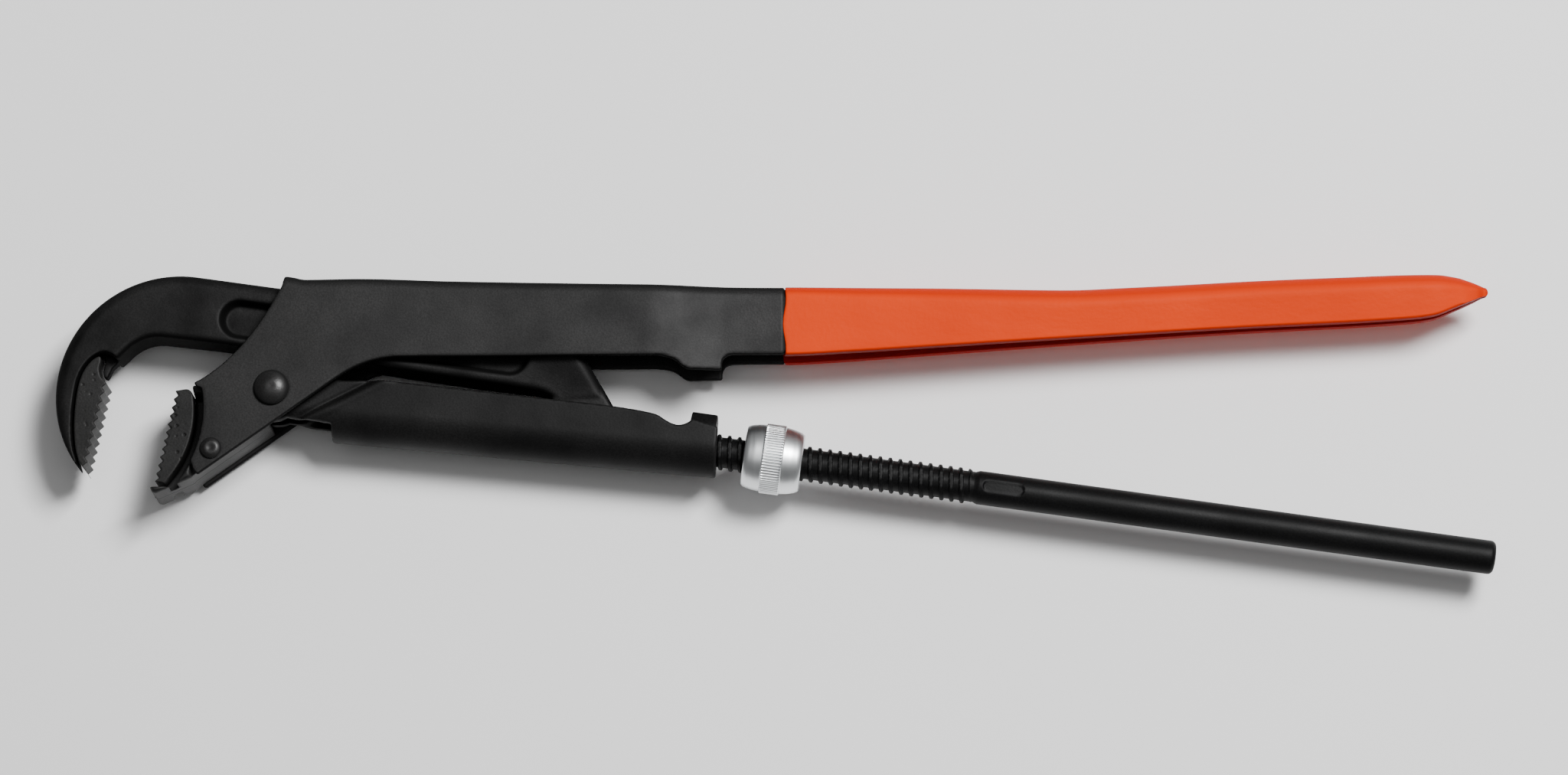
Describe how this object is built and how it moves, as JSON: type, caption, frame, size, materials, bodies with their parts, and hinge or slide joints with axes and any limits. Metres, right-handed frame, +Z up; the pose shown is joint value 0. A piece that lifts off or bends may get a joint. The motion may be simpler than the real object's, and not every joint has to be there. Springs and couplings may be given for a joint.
{
  "type": "pipe wrench",
  "caption": "Swedish-pattern pipe wrench with a sliding hook jaw, a toothed lower jaw, a channel handle with an orange grip, and a threaded rod handle with a knurled nut.",
  "frame": {"origin": "middle of the base of the whole wrench's box, with the wrench lying on its side", "axes": "+X from the hook jaw to the handle ends, +Y from the rod towards the grip, +Z up through the wrench's thickness"},
  "size_m": [0.4254, 0.0898, 0.0324],
  "materials": {
    "pressed_steel": "satin black phosphate",
    "forged_steel": "satin black, forged texture",
    "hardened_steel": "matt dark steel, machined teeth",
    "rivet_steel": "semi-gloss black",
    "rod_steel": "satin black, drawn bar",
    "plated_steel": "satin zinc plate",
    "grip_coat": "satin orange coat with a fine orange-peel texture"
  },
  "bodies": {
    "frame": {"upper_handle": "pressed_steel", "grip_sleeve": "grip_coat", "jaw_seat_block": "forged_steel", "lower_jaw_insert": "hardened_steel", "pivot_rivet": "rivet_steel", "seat_rivet": "rivet_steel"},
    "lower_arm": {"lower_channel": "pressed_steel", "pivot_bush": "rivet_steel"},
    "hook": {"hook_jaw": "forged_steel", "hook_jaw_insert": "hardened_steel", "handle_rod": "rod_steel", "rod_pin": "rivet_steel"},
    "nut": {"adjusting_nut": "plated_steel"}
  },
  "joints": [
    {"name": "squeeze", "type": "hinge", "parent": "frame", "child": "lower_arm", "pos_m": [-0.14832, 0.00857, 0.0162], "axis": [0, 0, 1], "range_deg": [-6, 5]},
    {"name": "nut_turn", "type": "hinge", "parent": "lower_arm", "child": "nut", "pos_m": [-0.00055, -0.01062, 0.0162], "axis": [-0.9905, 0.1374, 0], "range_deg": [-5880, 2040]},
    {"name": "jaw_slide", "type": "slide", "parent": "lower_arm", "child": "hook", "axis": [-0.9905, 0.1374, 0], "range_m": [-0.017, 0.049]}
  ],
  "couplings": [
    {"joint": "nut_turn", "follows": "jaw_slide", "rad_per_m": -2094.4}
  ]
}
